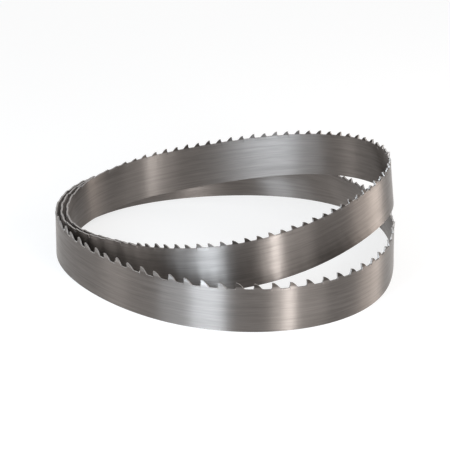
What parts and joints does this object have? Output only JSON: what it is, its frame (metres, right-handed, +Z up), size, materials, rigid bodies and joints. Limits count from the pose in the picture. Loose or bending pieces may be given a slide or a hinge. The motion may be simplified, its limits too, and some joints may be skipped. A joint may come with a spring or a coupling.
{
  "type": "coiled band saw blade",
  "caption": "Toothed steel band saw strip wound in a loose open coil, standing on its plain back edge with the teeth up.",
  "frame": {"origin": "on the floor, in the middle of the coil's bounding box seen from above", "axes": "+Z up, from the plain back edge to the teeth; +Y to the back, away from the viewer; +X to the right, where the upper turn climbs over the lower one"},
  "size_m": [0.189, 0.2082, 0.0565],
  "materials": {
    "steel": "ground lengthwise, satin"
  },
  "bodies": {
    "root": {"saw_blade": "steel"}
  },
  "joints": []
}
